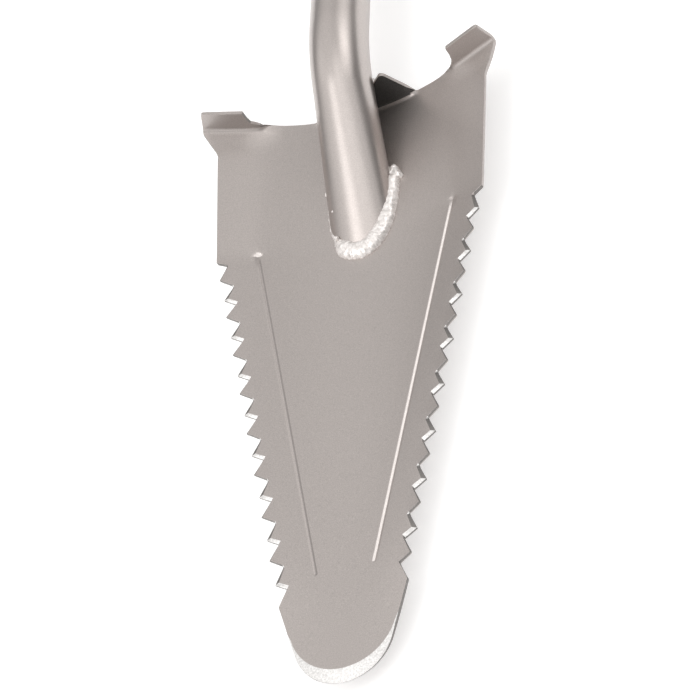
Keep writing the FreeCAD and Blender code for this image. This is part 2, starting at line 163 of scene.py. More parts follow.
HEEL_STEP = 3.0
SHOULDER_STEP = 5.0

# ---- the shaft's sizes in millimetres ----
TUBE_RADIUS = 14.3
SOCKET_ANGLE = math.radians(21.8)
SOCKET_CROSSING_Y = 42.0
BEND_APEX_Y = 94.0
BEND_RADIUS = 85.0
FOOT_LENGTH = 106.0
TOE_SPREAD = 3.3
TOE_FLATTEN = 4.3
TOE_SINK = 0.3                 # how far the foot's edge sinks into the blade's face
COPE_OVERLAP = 0.3
TUBE_SIDES = 96
LOWER_ROWS = 24
BEND_ROWS = 14
UPPER_ROWS = 40

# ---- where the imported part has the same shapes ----
BLADE_LOW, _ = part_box("blade")
HANDLE_LOW, HANDLE_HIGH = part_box("handle_tube")
SHIFT = Vector((0, BLADE_LOW[1] / MM - TIP_CENTRE_Y + TIP_RADIUS, DISH_HEEL + SHEET))
HANDLE = (Vector(HANDLE_LOW) + Vector(HANDLE_HIGH)) / (2 * MM) - SHIFT  # middle of the cross tube

# ---- how edges are kept sharp and rounded, in millimetres ----
SHARP_ANGLE = math.radians(50)
PART_SHARP_ANGLE = math.radians(30)
BLADE_EDGE_ROUNDING = 0.14
PART_EDGE_ROUNDING = 0.2
JOIN_DISTANCE = 0.01


# ---- helpers ----
def placed(point):
    """A point in millimetres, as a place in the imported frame."""
    return (Vector(point) + SHIFT) * MM


def smooth_step(value, start, end):
    share = min(max((value - start) / (end - start), 0.0), 1.0)
    return share * share * (3 - 2 * share)


def stepped(start, end, step):
    """Evenly spaced values from start to end, about a step apart."""
    count = max(1, round(abs(end - start) / step))
    return [start + (end - start) * i / count for i in range(count + 1)]


def new_piece(name, verts, faces, node, material):
    """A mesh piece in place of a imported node, shaded smooth."""
    mesh = bpy.data.meshes.new(name)
    mesh.from_pydata([placed(v) for v in verts], [], faces)
    obj = bpy.data.objects.new(name, mesh)
    bpy.context.collection.objects.link(obj)
    mesh.materials.append(material)
    finish_mesh(mesh)
    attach(obj, "root")
    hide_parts(node)
    return obj


def finish_mesh(mesh):
    """Point all faces outwards, shade them smooth and keep the sharp edges."""
    work = bmesh.new()
    work.from_mesh(mesh)
    bmesh.ops.recalc_face_normals(work, faces=work.faces)
    for face in work.faces:
        face.smooth = True
    for edge in work.edges:
        if edge.calc_face_angle(0.0) > SHARP_ANGLE:
            edge.smooth = False
    work.to_mesh(mesh)
    work.free()


def soften_edges(obj, width, angle, clamp=True):
    """Round the edges sharper than an angle and shade the rest smooth."""
    bevel = obj.modifiers.new("rounded_edges", "BEVEL")
    bevel.width = width * MM
    bevel.segments = 2
    bevel.limit_method = "ANGLE"
    bevel.angle_limit = angle
    bevel.use_clamp_overlap = clamp
    obj.modifiers.new("normals", "WEIGHTED_NORMAL").keep_sharp = True


def join_facets(obj):
    """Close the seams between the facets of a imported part."""
    weld = obj.modifiers.new("weld", "WELD")
    weld.merge_threshold = JOIN_DISTANCE * MM


# ---- materials ----
def new_material(name):
    material = bpy.data.materials.new(name)
    material.use_nodes = True
    nodes = material.node_tree.nodes
    return material, nodes, material.node_tree.links, nodes["Principled BSDF"]


def noise_pattern(nodes, links, scale, detail):
    """Fractal noise in the object's own space, scale in waves per metre."""
    place = nodes.new("ShaderNodeTexCoord")
    texture = nodes.new("ShaderNodeTexNoise")
    texture.inputs["Scale"].default_value = scale
    texture.inputs["Detail"].default_value = detail
    links.new(place.outputs["Object"], texture.inputs["Vector"])
    return texture.outputs["Fac"]


def colour_by(nodes, links, shader, pattern, tones, positions=(0.0, 1.0)):
    """Base colour that runs from the first tone to the second with the pattern."""
    ramp = nodes.new("ShaderNodeValToRGB")
    for stop, tone, position in zip(ramp.color_ramp.elements, tones, positions):
        stop.position = position
        stop.color = (*tone, 1)
    links.new(pattern, ramp.inputs["Fac"])
    links.new(ramp.outputs["Color"], shader.inputs["Base Color"])


def bump_by(nodes, links, shader, pattern, strength, height):
    """Bumps that follow the pattern, height in millimetres."""
    bump = nodes.new("ShaderNodeBump")
    bump.inputs["Strength"].default_value = strength
    bump.inputs["Distance"].default_value = height * MM
    links.new(pattern, bump.inputs["Height"])
    links.new(bump.outputs["Normal"], shader.inputs["Normal"])


def satin_paint(name, dark, light, bump, metallic, smoothest, grain=2600.0):
    """Satin metallic paint: fine flake grain over a slightly uneven coat."""
    material, nodes, links, shader = new_material(name)
    flake = noise_pattern(nodes, links, scale=grain, detail=3.0)
    coat = noise_pattern(nodes, links, scale=330.0, detail=4.0)
    colour_by(nodes, links, shader, flake, (dark, light), positions=(0.3, 0.7))
    rough = nodes.new("ShaderNodeMapRange")
    rough.inputs["To Min"].default_value = smoothest
    rough.inputs["To Max"].default_value = smoothest + 0.1
    links.new(coat, rough.inputs["Value"])
    links.new(rough.outputs["Result"], shader.inputs["Roughness"])
    bump_by(nodes, links, shader, coat, strength=bump, height=0.1)
    shader.inputs["Metallic"].default_value = metallic
    return material


def matt_black(name, dark, light, roughness):
    """Black rubber or plastic with a fine grain."""
    material, nodes, links, shader = new_material(name)
    grain = noise_pattern(nodes, links, scale=900.0, detail=5.0)
    colour_by(nodes, links, shader, grain, (dark, light))
    bump_by(nodes, links, shader, grain, strength=0.3, height=0.2)
    shader.inputs["Roughness"].default_value = roughness
    return material


def floor_paper():
    """Pale paper that glows a little, so that the floor looks nearly white."""
    material, _, _, shader = new_material("floor_paper")
    shader.inputs["Base Color"].default_value = (0.74, 0.74, 0.74, 1)
    shader.inputs["Roughness"].default_value = 0.9
    shader.inputs["Emission Color"].default_value = (1, 1, 1, 1)
    shader.inputs["Emission Strength"].default_value = 0.44
    return material


SHEET_PAINT = satin_paint(
    "satin_paint_on_sheet", (0.40, 0.366, 0.351), (0.54, 0.497, 0.475),
    bump=0.10, metallic=0.8, smoothest=0.34,
)
TUBE_PAINT = satin_paint(
    "satin_paint_on_tube", (0.44, 0.402, 0.385), (0.56, 0.515, 0.492),
    bump=0.10, metallic=0.92, smoothest=0.26,
)
# painted shade: dark paint standing in for the shade along cut edges and on tooth facets turned from the
# light
EDGE_PAINTED_SHADE = satin_paint(
    "cut_edge_painted_shade", (0.18, 0.17, 0.163), (0.28, 0.265, 0.255),
    bump=0.3, metallic=0.8, smoothest=0.4,
)
# painted highlight: the weld's paint is made near-white to stand in for the light on the beads
WELD_PAINTED_HIGHLIGHT = satin_paint(
    "weld_painted_highlight", (0.68, 0.645, 0.62), (1.0, 0.96, 0.94),
    bump=0.9, metallic=0.4, smoothest=0.24, grain=650.0,
)
# painted highlight: near-white paint on the tip's bevel and on tooth facets that face the light
GROUND_PAINTED_HIGHLIGHT = satin_paint(
    "ground_facet_painted_highlight", (0.60, 0.59, 0.58), (0.88, 0.87, 0.86),
    bump=0.4, metallic=0.5, smoothest=0.4, grain=1300.0,
)
# painted shade: near-black paint on the saddle tab's front face, in the shaft's shadow
TAB_PAINTED_SHADE = satin_paint(
    "tab_painted_shade", (0.07, 0.068, 0.066), (0.13, 0.126, 0.122),
    bump=0.2, metallic=0.6, smoothest=0.45,
)
# painted highlight: light paint on the right groove's lit wall and at the left crease's top
CREASE_PAINTED_HIGHLIGHT = satin_paint(
    "crease_painted_highlight", (0.74, 0.69, 0.665), (0.84, 0.79, 0.765),
    bump=0.1, metallic=0.55, smoothest=0.36,
)
# painted shade: darker paint on the left crease's wall that faces away from the light
CREASE_PAINTED_SHADE = satin_paint(
    "crease_wall_painted_shade", (0.28, 0.256, 0.246), (0.38, 0.35, 0.335),
    bump=0.1, metallic=0.8, smoothest=0.36,
)
RUBBER = matt_black("grip_rubber_matt", (0.022, 0.022, 0.023), (0.04, 0.04, 0.042), 0.62)
PLASTIC = matt_black("plug_plastic_matt", (0.03, 0.03, 0.03), (0.045, 0.045, 0.045), 0.45)
BLADE_MATERIALS = (SHEET_PAINT, GROUND_PAINTED_HIGHLIGHT, EDGE_PAINTED_SHADE, TAB_PAINTED_SHADE, CREASE_PAINTED_HIGHLIGHT, CREASE_PAINTED_SHADE)


# ---- blade: the sheet's faces ----
def crease_half(y):
    """Half the width between the two creases."""
    slope = (CREASE_TOP_HALF - CREASE_END_HALF) / (CREASE_TOP_Y - CREASE_END_Y)
    return CREASE_TOP_HALF + slope * (min(y, CREASE_TOP_Y) - CREASE_TOP_Y)


def station(y):
    """Wing slope and dish depth, straight between the stations."""
    for (top, *top_values), (low, *low_values) in zip(STATIONS, STATIONS[1:]):
        if y >= low:
            share = (top - y) / (top - low)
            return [a + (b - a) * share for a, b in zip(top_values, low_values)]
    return [0.0, 0.0]


def eased_station(y):
    """The stations' values, rounded off where one stretch runs into the next."""
    samples = [station(y + shift) for shift in STATION_EASING]
    return [sum(values) / len(samples) for values in zip(*samples)]


def crease_distances(x, y):
    """Distances from the nearer crease's middle line and from its top end."""
    start = Vector((CREASE_TOP_HALF, CREASE_TOP_Y))
    run = Vector((CREASE_END_HALF, CREASE_END_Y)) - start
    offset = Vector((abs(x), y)) - start
    share = min(max(offset.dot(run) / run.length_squared, 0.0), 1.0)
    return (offset - run * share).length, offset.length


def groove(x, y):
    """Depth of the V groove that runs down each crease, with a small dimple at its top."""
    beside, from_top = crease_distances(x, y)
    depth = GROOVE_DEPTH_RIGHT if x > 0 else GROOVE_DEPTH_LEFT
    inward = max(1 - math.hypot(beside / GROOVE_HALF, GROOVE_BLUNTNESS), 0.0)
    dimple = from_top / DIMPLE_RADIUS
    return max(depth * inward, DIMPLE_DEPTH * (1 - dimple * dimple))


def sheet_height(x, y):
    """Height of the sheet's front face, without its groove."""
    half = crease_half(y)
    slope, depth = eased_station(y)
    rise = max(y - PRE_BEND_Y, 0.0)
    swell = PRE_BEND_SLOPE * rise * rise / (2 * (FOLD_Y - PRE_BEND_Y))
    swell *= smooth_step(abs(x), *PRE_BEND_SIDES)
    if abs(x) < half:
        return swell - depth * (1 - (x / half) ** 2)
    return swell + (abs(x) - half) * slope


def fold_share(x):
    """How fully the sheet is folded forward at its heel: tab in the middle, steps outside."""
    right_foot, left_foot = TAB_RIGHT[0], -TAB_LEFT[0]
    right = 1 - smooth_step(x, right_foot - TAB_FOLD_BLEND, right_foot + TAB_FOLD_BLEND)
    left = smooth_step(x, left_foot - TAB_FOLD_BLEND, left_foot + TAB_FOLD_BLEND)
    step = smooth_step(abs(x), *STEP_FOLD_SIDES)
    return max(right * left, step)


def sheet_slopes(x, y):
    across = sheet_height(x + SLOPE_PROBE, y) - sheet_height(x - SLOPE_PROBE, y)
    along = sheet_height(x, y + SLOPE_PROBE) - sheet_height(x, y - SLOPE_PROBE)
    return across / (2 * SLOPE_PROBE), along / (2 * SLOPE_PROBE)


def sheet_point(x, v, depth):
    """Point of the bent sheet: v is Y up to the fold and runs on round it, depth goes in."""
    y = min(v, FOLD_Y)
    height = sheet_height(x, y)
    across, down = sheet_slopes(x, y)
    normal = Vector((-across, -down, 1)).normalized()
    upright = Vector((0, 0, 1 / normal.z))
    base = Vector((x, y, height))
    share = fold_share(x)
    run = v - y
    if run <= 0 or share < LEAST_FOLD:
        inward = upright.lerp(normal, smooth_step(y, KINK_Y, FOLD_Y))
        return base + Vector((0, max(run, 0), 0)) - inward * depth
    radius = FOLD_MIDDLE / share
    up = Vector((-across, 0, 1)).normalized()
    start = math.atan(down * up.z)
    angle = start + min(run, FOLD_LENGTH) / radius * (1 - 2 * start / math.pi)
    straight = run - min(run, FOLD_LENGTH)
    inner = radius - SHEET / 2
    reach = inner + depth
    forward = reach * math.sin(angle) - inner * math.sin(start) + straight * math.cos(angle)
    rise = inner * math.cos(start) - reach * math.cos(angle) + straight * math.sin(angle)
    return base + Vector((0, forward, 0)) + up * rise


def on_tab(x, z):
    """Place in the unfolded sheet of a point of the saddle tab."""
    radius = (CREASE_TOP_HALF ** 2 + DISH_HEEL ** 2) / (2 * DISH_HEEL)
    below = radius - DISH_HEEL - z
    rise = radius - math.hypot(x, below)
    turned = radius * math.sin(math.atan2(x, below))
    if rise < FOLD_INNER:
        return turned, FOLD_Y + FOLD_MIDDLE * math.acos(1 - max(rise, 0) / FOLD_INNER)
    return turned, FOLD_Y + FOLD_LENGTH + rise - FOLD_INNER


# ---- blade: its outline in the unfolded sheet ----
class Outline:
    """Points of the unfolded sheet with how deep each is ground from the front and the back."""

    def __init__(self):
        self.points = []
        self.front = []
        self.back = []
        self.edges = []

    def add(self, point, front=0.0, back=0.0):
        self.points.append(Vector(point))
        self.front.append(front)
        self.back.append(back)
        return len(self.points) - 1

    def line(self, indices):
        self.edges += list(zip(indices, indices[1:]))


def tooth_layout():
    """Tips of the right-hand teeth from the shoulder down, and the roots between them."""
    first = Vector((SHOULDER_HALF, 0))
    last = Vector((TEETH_END_HALF, TEETH_END_Y))
    pitch = (last - first) / TOOTH_COUNT
    inward = Vector((pitch.y, -pitch.x)).normalized()
    tips = [first + pitch * i for i in range(TOOTH_COUNT + 1)]
    roots = [tip + pitch * ROOT_SHARE + inward * TOOTH_DEPTH for tip in tips[:-1]]
    roots[0] += Vector(FIRST_ROOT_SHIFT)
    return tips, roots


def tab_edge(foot, peak):
    """Edge of one ear, from the middle of the saddle out to the blade's heel."""
    saddle_z = (FOLD_Y + TAB_MIDDLE - SOCKET_CROSSING_Y) * math.tan(SOCKET_ANGLE)
    across = TUBE_RADIUS + SADDLE_GAP
    up = across / math.cos(SOCKET_ANGLE)
    edge = []
    for x in stepped(0, SADDLE_HALF, SADDLE_STEP):
        edge.append((x, saddle_z - up * math.sqrt(1 - (x / across) ** 2)))
    edge += [(peak + x, TAB_PEAK_Z + z) for x, z in EAR_PEAK]
    foot_z = DISH_HEEL * ((foot / CREASE_TOP_HALF) ** 2 - 1)
    start = Vector(edge[-1])
    end = Vector((foot, foot_z + EAR_FOOT_Z))
    edge += [tuple(start.lerp(end, share)) for share in (0.25, 0.5, 0.75, 1.0)]
    return [on_tab(x, z) for x, z in edge]


def heel_edge(foot, heel_rise):
    """Heel of the blade from the tab to the step, round the step and down to the kink."""
    points = []
    for x in stepped(foot + 1.2, CREASE_TOP_HALF - 1.0, HEEL_STEP):
        points.append((x, HEEL_EDGE_Y + heel_rise * smooth_step(x, foot + 2.0, CREASE_TOP_HALF)))
    low = HEEL_EDGE_Y + heel_rise
    rise = FOLD_Y + STEP_RISE
    points += [(x, low + v) for x, v in STEP_CORNER]
    points += [(x, FOLD_Y + v) for x, v in STEP_FLANK]
    points += [(STEP_INNER_HALF, rise)]
    for x in stepped(STEP_INNER_HALF + 1.3, STEP_HALF - STEP_ROUND, HEEL_STEP):
        points.append((x, rise))
    points += [(STEP_HALF - 0.5, rise - 0.2), (STEP_HALF - 0.1, rise - 0.7)]
    points += [(STEP_HALF, rise - STEP_ROUND)]
    points += [(STEP_HALF, v) for v in stepped(rise - 4.0, FOLD_Y + FOLD_LENGTH, 2.5)]
    points += [(STEP_HALF, v) for v in stepped(FOLD_Y + 0.8 * FOLD_LENGTH, FOLD_Y + 0.6, 1.0)]
    points += [(STEP_HALF - 0.15, FOLD_Y - 0.4)]
    slant = (STEP_HALF - KINK_HALF) / (FOLD_Y - KINK_Y)
    for y in stepped(FOLD_Y - HEEL_STEP, KINK_Y + 1.0, HEEL_STEP):
        points.append((KINK_HALF + slant * (y - KINK_Y), y))
    points += [(KINK_HALF - 0.1, KINK_Y - 0.8)]
    return points


def saw_edge(outline, side):
    """Saw edge from the shoulder to the last tooth, ground by turns from opposite faces."""
    tips, roots = tooth_layout()
    edge = []

    def add(point, front=0.0, back=0.0):
        edge.append(outline.add((side * point.x, point.y), front, back))

    add(tips[0])
    add(roots[0] + (tips[0] - roots[0]).normalized() * ROOT_ROUNDING)
    inner = []
    for i in range(1, TOOTH_COUNT):
        tip = tips[i]
        back = (tip - roots[i - 1]).normalized()
        flank = (roots[i] - tip).normalized()
        back_in = Vector((back.y, -back.x))
        flank_in = Vector((flank.y, -flank.x))
        from_front = (i % 2 == 0) == (side < 0)
        root_width, tip_width, flank_width, front, behind = GROUND_FRONT if from_front else GROUND_BACK
        start = roots[i - 1] + back * ROOT_ROUNDING
        end = roots[i] - flank * ROOT_ROUNDING
        add(start, front, behind)
        add(start.lerp(tip, 0.5), front, behind)
        add(tip, front, behind)
        add(tip.lerp(end, 0.5), front, behind)
        add(end, front, behind)
        crossing = back.cross(flank)
        shift = flank_in * flank_width - back_in * tip_width
        corner = tip + back_in * tip_width + back * (shift.cross(flank) / crossing)
        last = end + flank_in * flank_width + flank * GRIND_OVERRUN
        for point in (start + back_in * root_width, corner, last):
            inner.append(outline.add((side * point.x, point.y)))
    outline.line(inner)
    add(roots[-1] + (tips[-1] - roots[-1]).normalized() * ROOT_ROUNDING)
    add(tips[-1])
    return edge


def tip_edge(outline):
    """Tip of the blade from the right-hand tangent point to the left-hand one."""
    indices = []
    for angle in stepped(TIP_TANGENT_ANGLE, -math.pi - TIP_TANGENT_ANGLE, TIP_ARC_STEP):
        point = Vector((TIP_RADIUS * math.cos(angle), TIP_CENTRE_Y + TIP_RADIUS * math.sin(angle)))
        indices.append(outline.add(point, bevel_depth(point)))
    return indices


def bevel_depth(point):
    """How much is ground off the front of the tip."""
    reach = (Vector(point) - Vector((0, BEVEL_CENTRE_Y))).length - BEVEL_RADIUS
    fade = smooth_step(-point[1], -BEVEL_START_Y, -BEVEL_FULL_Y)
    return max(reach, 0.0) * BEVEL_SLOPE * fade


def side_edge(outline, side, ear, heel_rise):
    """One side of the blade, from the middle of the saddle down to the tip's arc."""
    indices = []
    for x, v in tab_edge(*ear) + heel_edge(ear[0], heel_rise):
        indices.append(outline.add((side * x, v)))
    for y in stepped(KINK_Y - SHOULDER_STEP, SHOULDER_STEP, SHOULDER_STEP):
        half = SHOULDER_HALF + (KINK_HALF - SHOULDER_HALF) * y / KINK_Y
        indices.append(outline.add((side * half, y)))
    indices += saw_edge(outline, side)
    tangent = Vector((TIP_RADIUS * math.cos(TIP_TANGENT_ANGLE), TIP_TANGENT_Y))
    for share in (0.2, 0.4, 0.6, 0.8):
        point = Vector((TEETH_END_HALF, TEETH_END_Y)).lerp(tangent, share)
        indices.append(outline.add((side * point.x, point.y), bevel_depth(point)))
    return indices


def inside(point, loop):
    """Whether a point is within a closed loop: a ray from it crosses the loop an odd number of times."""
    within = False
    for a, b in zip(loop, loop[1:] + loop[:1]):
        if (a.y > point.y) != (b.y > point.y):
            if point.x < a.x + (b.x - a.x) * (point.y - a.y) / (b.y - a.y):
                within = not within
    return within


def clearance(point, loop):
    """Distance from a point to the nearest side of a closed loop."""
    best = math.inf
    for a, b in zip(loop, loop[1:] + loop[:1]):
        run = b - a
        share = min(max((point - a).dot(run) / run.length_squared, 0.0), 1.0)
        best = min(best, (point - a - run * share).length)
    return best


def groove_lines(outline):
    """Rows of points that follow each groove, close enough for its V section and its ends."""
    start = Vector((CREASE_TOP_HALF, CREASE_TOP_Y))
    end = Vector((CREASE_END_HALF, CREASE_END_Y))
    run = (end - start).normalized()
    beside = Vector((-run.y, run.x))
    length = (end - start).length
    distances = [-reach for reach in reversed(GROOVE_END_POINTS)]
    distances += stepped(GROOVE_FIRST_STEP, length - GROOVE_FIRST_STEP, GROOVE_STEP)
    distances += [length + reach for reach in GROOVE_END_POINTS]
    for side in (-1, 1):
        for offset in GROOVE_ROWS:
            row = []
            for distance in distances:
                point = start + run * distance + beside * offset
                row.append(outline.add((side * point.x, point.y)))
            outline.line(row)


def near_groove(point):
    beside = abs(abs(point.x) - crease_half(point.y))
    low = CREASE_END_Y - GROOVE_END_CLEARANCE
    high = CREASE_TOP_Y + GROOVE_END_CLEARANCE
    return beside < GROOVE_CLEARANCE and low < point.y < high


def sheet_grid():
    """Loose points that keep the curved sheet's facets small and even."""
    grid = []
    for row, y in enumerate(stepped(GRID_LOW_Y, FOLD_Y - GRID_BELOW_FOLD, GRID_STEP)):
        for x in stepped(-GRID_HALF, GRID_HALF, GRID_STEP):
            grid.append(Vector((x + (row % 2) * GRID_STEP / 2, y)))
    fold_rows = [FOLD_Y + FOLD_LENGTH * i / FOLD_GRID_ROWS for i in range(FOLD_GRID_ROWS + 1)]
    wall = FOLD_Y + FOLD_LENGTH
    wall_rows = stepped(wall + WALL_STEP, wall + WALL_TOP, WALL_STEP)
    for v in fold_rows + wall_rows:
        for x in stepped(-FOLD_GRID_HALF, FOLD_GRID_HALF, FOLD_GRID_STEP):
            grid.append(Vector((x, v)))
    return grid


def ground_at_tip(point):
    reach = (point - Vector((0, BEVEL_CENTRE_Y))).length
    return point.y < BEVEL_START_Y and reach > BEVEL_RADIUS - BEVEL_CLEARANCE


def tooth_set(x, y):
    """Sideways set of a saw tooth, growing from its root to its tip."""
    tips, roots = tooth_layout()
    pitch = (tips[-1] - tips[0]) / TOOTH_COUNT
    inward = Vector((pitch.y, -pitch.x)).normalized()
    offset = Vector((abs(x), y)) - tips[0]
    number = round(offset.dot(pitch) / pitch.length_squared + TOOTH_LEAN)
    if not 1 <= number <= TOOTH_COUNT - 1:
        return 0.0
    share = 1 - offset.dot(inward) / TOOTH_DEPTH
    if share <= 0:
        return 0.0
    from_front = (number % 2 == 0) == (x < 0)
    return min(share, 1.0) * (-TOOTH_SET if from_front else TOOTH_SET)


def outer_loop(outline):
    """The whole edge of the sheet, as the indices of its points in order."""
    right = side_edge(outline, 1, TAB_RIGHT, 0.0)
    tip = tip_edge(outline)
    left = side_edge(outline, -1, TAB_LEFT, HEEL_LEFT_RISE)
    loop = right + tip + left[:0:-1]
    outline.line(loop + loop[:1])
    return loop


def bevel_line(outline):
    """Inner edge of the bevel round the tip."""
    line = []
    for angle in stepped(-BEVEL_FADE, BEVEL_FADE - math.pi, TIP_ARC_STEP):
        x = BEVEL_RADIUS * math.cos(angle)
        line.append(outline.add((x, BEVEL_CENTRE_Y + BEVEL_RADIUS * math.sin(angle))))
    outline.line(line)


def loose_points(outline, loop_points):
    """Fill the outline with the points of the grid that keep clear of what is already there."""
    for point in sheet_grid():
        if near_groove(point) or ground_at_tip(point) or not inside(point, loop_points):
            continue
        least = FOLD_CLEARANCE if point.y > FOLD_Y - FOLD_TOLERANCE else SHEET_CLEARANCE
        if clearance(point, loop_points) > least:
            outline.add(point)


def two_faces(outline, flat, origins):
    """Points of the sheet's front and then of its back, and how deep each is ground."""
    verts = []
    grounds = []
    for is_back in (False, True):
        depths = outline.back if is_back else outline.front
        for point, origin in zip(flat, origins):
            ground = max(depths[i] for i in origin) if origin else 0.0
            depth = SHEET - ground if is_back else groove(point.x, point.y) + ground
            place = sheet_point(point.x, point.y, depth)
            place.z += tooth_set(point.x, point.y)
            verts.append(place)
            grounds.append(ground)
    return verts, grounds


def closed_shell(faces, count):
    """Front faces, the same faces on the back, and a wall along each open edge."""
    shell = [tuple(face) for face in faces]
    shell += [tuple(i + count for i in reversed(face)) for face in faces]
    uses = {}
    for face in faces:
        for a, b in zip(face, face[1:] + face[:1]):
            uses.setdefault(frozenset((a, b)), []).append((a, b))
    walls = [pair[0] for pair in uses.values() if len(pair) == 1]
    shell += [(b, a, a + count, b + count) for a, b in walls]
    return shell


def build_blade():
    outline = Outline()
    loop = outer_loop(outline)
    loop_points = [outline.points[i] for i in loop]
    bevel_line(outline)
    groove_lines(outline)
    loose_points(outline, loop_points)
    flat, _, faces, origins, _, _ = delaunay_2d_cdt(
        outline.points, outline.edges, [loop], KEEP_INSIDE, MERGE_DISTANCE
    )
    verts, grounds = two_faces(outline, flat, origins)
    shell = closed_shell(faces, len(flat))
    blade = new_piece("blade_sheet", verts, shell, "blade", SHEET_PAINT)
    for material in BLADE_MATERIALS[1:]:
        blade.data.materials.append(material)
    finish_blade(blade.data, grounds, len(flat))
    soften_edges(blade, BLADE_EDGE_ROUNDING, SHARP_ANGLE, clamp=False)


# how deep a face is ground before it counts as ground, as a facet and as one with painted highlight
GROUND_AT_ALL = 0.05
GROUND_FACET = 0.2
GROUND_HIGHLIT = 0.6
# painted highlight spot at the top of the left crease
HIGHLIT_DIMPLE = 2.0            # half the width of the bright spot at the left crease's top
# where the saddle tab's front face gets painted shade
TAB_ZONE_Y = 70.0
TAB_ZONE_HALF = 40.0
CRISP_ANGLE = math.radians(6)
# a face's direction tells what it is and where light or shade is painted: how far it points up, down the
# blade or across it
CUT_EDGE_UP = 0.5
FACET_UP = 0.3
FLANK_DOWN = -0.35
LIT_WALL_ACROSS = 0.2
TAB_FORWARD = -0.8


def finish_blade(mesh, grounds, count):
    """Crisp edges round the ground facets, and the material of each face."""
    work = bmesh.new()
    work.from_mesh(mesh)
    for edge in work.edges:
        if len(edge.link_faces) != 2:
            continue
        kinds = []
        for face in edge.link_faces:
            kinds.append(any(grounds[v.index] > GROUND_AT_ALL for v in face.verts))
        if kinds[0] != kinds[1] and edge.calc_face_angle(0.0) > CRISP_ANGLE:
            edge.smooth = False
    for face in work.faces:
        sides = {v.index < count for v in face.verts}
        centre = face.calc_center_median() / MM - SHIFT
        material = SHEET_PAINT
        if sides == {True, False}:
            material = cut_edge_material(centre, face.normal)
        elif sides == {True}:
            depth = max(grounds[v.index] for v in face.verts)
            material = front_material(centre, face.normal, depth)
        face.material_index = BLADE_MATERIALS.index(material)
    work.to_mesh(mesh)
    work.free()


def cut_edge_material(centre, normal):
    """Painted shade: darker paint on the sheet's cut edges that face sideways or down, but not on the
    right shoulder's.
    """
    at_right_shoulder = centre.x > 0 and centre.y > 0
    return EDGE_PAINTED_SHADE if normal.z < CUT_EDGE_UP and not at_right_shoulder else SHEET_PAINT


def front_material(centre, normal, depth):
    """Painted highlight or shade by where each face points: on the ground facets, in the creases and on
    the tab.
    """
    # painted highlight on the tip's bevel
    if centre.y < BEVEL_START_Y:
        return GROUND_PAINTED_HIGHLIGHT if depth > GROUND_AT_ALL else SHEET_PAINT
    # painted highlight on facets that face down the blade, painted shade on the others
    if depth > GROUND_FACET and normal.z > FACET_UP:
        return GROUND_PAINTED_HIGHLIGHT if depth > GROUND_HIGHLIT and normal.y < FLANK_DOWN else EDGE_PAINTED_SHADE
    # painted highlight on the right groove's lit wall and at the left crease's top
    if near_groove(centre) and centre.x > 0 and normal.x > LIT_WALL_ACROSS:
        return CREASE_PAINTED_HIGHLIGHT
    from_crease, from_top = crease_distances(centre.x, centre.y)
    if centre.x < 0 and from_top < HIGHLIT_DIMPLE and normal.y < 0:
        return CREASE_PAINTED_HIGHLIGHT
    # painted shade on the left crease's wall that faces away from the light
    if centre.x < 0 and from_crease < GROOVE_HALF and normal.x < 0:
        return CREASE_PAINTED_SHADE
    # painted shade on the saddle tab's front face
    if centre.y > TAB_ZONE_Y and abs(centre.x) < TAB_ZONE_HALF and normal.y < TAB_FORWARD:
        return TAB_PAINTED_SHADE
    return SHEET_PAINT


build_blade()


# ---- shaft ----
SOCKET_DIRECTION = Vector((0, math.cos(SOCKET_ANGLE), math.sin(SOCKET_ANGLE)))
BEND_APEX = Vector((0, BEND_APEX_Y, (BEND_APEX_Y - SOCKET_CROSSING_Y) * math.tan(SOCKET_ANGLE)))
UPPER_DIRECTION = (HANDLE - BEND_APEX).normalized()
BEND_TURN = SOCKET_DIRECTION.angle(UPPER_DIRECTION)
BEND_REACH = BEND_RADIUS * math.tan(BEND_TURN / 2)
BEND_START = BEND_APEX - SOCKET_DIRECTION * BEND_REACH
ACROSS = Vector((1, 0, 0))
FOOT_SEARCHES = 24


def lower_point(share, angle, extra=0.0):
    """Point of the shaft's pressed lower end: share 0 is its foot, 1 the start of the bend."""
    centre = BEND_START - SOCKET_DIRECTION * FOOT_LENGTH * (1 - share)
    wide = TUBE_RADIUS + TOE_SPREAD * (1 - share) + extra
    high = TUBE_RADIUS - TOE_FLATTEN * (1 - share) + extra
    up = ACROSS.cross(SOCKET_DIRECTION)
    return centre + ACROSS * wide * math.cos(angle) + up * high * math.sin(angle)


def foot_share(angle):
    """Where a line along the shaft's lower end sinks just below the blade's face."""
    low, high = 0.0, 1.0
    for _ in range(FOOT_SEARCHES):
        middle = (low + high) / 2
        point = lower_point(middle, angle)
        if point.z < sheet_height(point.x, point.y) - TOE_SINK:
            low = middle
        else:
            high = middle
    return low


def shaft_line(angle):
    """One line of points along the shaft, from the blade's face to the coped upper end."""
    foot = foot_share(angle)
    line = []
    for i in range(LOWER_ROWS + 1):
        line.append(lower_point(foot + (1 - foot) * i / LOWER_ROWS, angle))
    start_up = ACROSS.cross(SOCKET_DIRECTION)
    centre = BEND_START - start_up * BEND_RADIUS
    rim = start_up * (BEND_RADIUS + TUBE_RADIUS * math.sin(angle))
    for i in range(1, BEND_ROWS + 1):
        turned = Matrix.Rotation(-BEND_TURN * i / BEND_ROWS, 3, "X") @ rim
        line.append(centre + turned + ACROSS * TUBE_RADIUS * math.cos(angle))
    start = line[-1]
    cope = TUBE_RADIUS * abs(math.cos(angle)) - COPE_OVERLAP
    end_centre = HANDLE - UPPER_DIRECTION * cope
    upper_up = ACROSS.cross(UPPER_DIRECTION)
    end = end_centre + (ACROSS * math.cos(angle) + upper_up * math.sin(angle)) * TUBE_RADIUS
    line += [start.lerp(end, i / UPPER_ROWS) for i in range(1, UPPER_ROWS + 1)]
    return line


